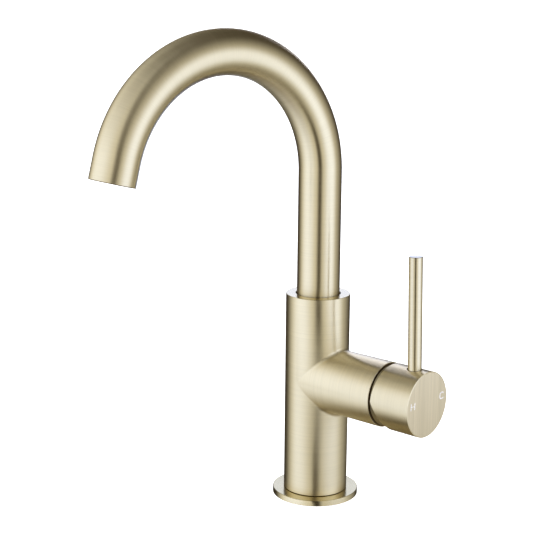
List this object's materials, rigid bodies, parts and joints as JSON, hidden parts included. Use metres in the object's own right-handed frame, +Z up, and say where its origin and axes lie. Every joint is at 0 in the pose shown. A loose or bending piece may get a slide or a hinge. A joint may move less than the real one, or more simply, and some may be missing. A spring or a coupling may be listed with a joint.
{
  "type": "bathroom mixer faucet",
  "caption": "Single-hole bathroom mixer faucet in brushed champagne metal, with a swivelling gooseneck spout and a pin-lever handle on a side branch.",
  "frame": {"origin": "the axis of the column on the deck it stands on", "axes": "+Z up along the column, +X along the side branch towards the handle; hot is the -Y side, cold the +Y side, and at rest the spout reaches towards -Y"},
  "size_m": [0.1277, 0.197, 0.3094],
  "materials": {
    "champagne_metal": "finely brushed, pale champagne-gold coating",
    "raw_brass": "turned, uncoated",
    "steel": "bright stainless",
    "ceramic": "lapped ceramic",
    "grey_plastic": "moulded",
    "white_plastic": "moulded",
    "rubber": "matt black"
  },
  "bodies": {
    "mixer_body": {"mixer_body": "champagne_metal", "base_flange": "champagne_metal", "base_gasket": "rubber", "spout_lock_screw": "steel", "thrust_washer": "white_plastic", "cartridge_base": "grey_plastic", "hot_seal": "rubber", "cold_seal": "rubber", "outlet_seal": "rubber", "cartridge_shell": "grey_plastic", "fixed_disc": "ceramic", "retaining_nut": "raw_brass", "bonnet_ring": "champagne_metal"},
    "spout": {"spout_tube": "champagne_metal", "spout_tail": "raw_brass", "bearing_ring": "white_plastic", "lower_o_ring": "rubber", "upper_o_ring": "rubber", "outlet_insert": "raw_brass", "aerator_housing": "white_plastic", "aerator_core": "white_plastic", "aerator_gasket": "rubber"},
    "turn_plate": {"cartridge_rotor": "white_plastic", "stem_pin": "steel"},
    "slider": {"moving_disc": "ceramic", "disc_carrier": "white_plastic"},
    "handle": {"cartridge_stem": "raw_brass", "handle_cap": "champagne_metal", "lever_rod": "champagne_metal", "handle_grub_screw": "steel"}
  },
  "joints": [
    {"name": "spout_swivel", "type": "hinge", "parent": "mixer_body", "child": "spout", "pos_m": [0, 0, 0.12], "axis": [0, 0, 1], "continuous": true},
    {"name": "temperature", "type": "hinge", "parent": "mixer_body", "child": "turn_plate", "pos_m": [0.046, 0, 0.0807], "axis": [1, 0, 0], "range_deg": [-50, 50]},
    {"name": "flow", "type": "hinge", "parent": "turn_plate", "child": "handle", "pos_m": [0.046, 0, 0.0807], "axis": [0, 1, 0], "range_deg": [0, 24]},
    {"name": "disc_slide", "type": "slide", "parent": "turn_plate", "child": "slider", "axis": [0, 0, 1], "range_m": [0, 0.0031]}
  ],
  "couplings": [
    {"joint": "disc_slide", "follows": "flow", "m_per_rad": 0.0071855}
  ]
}
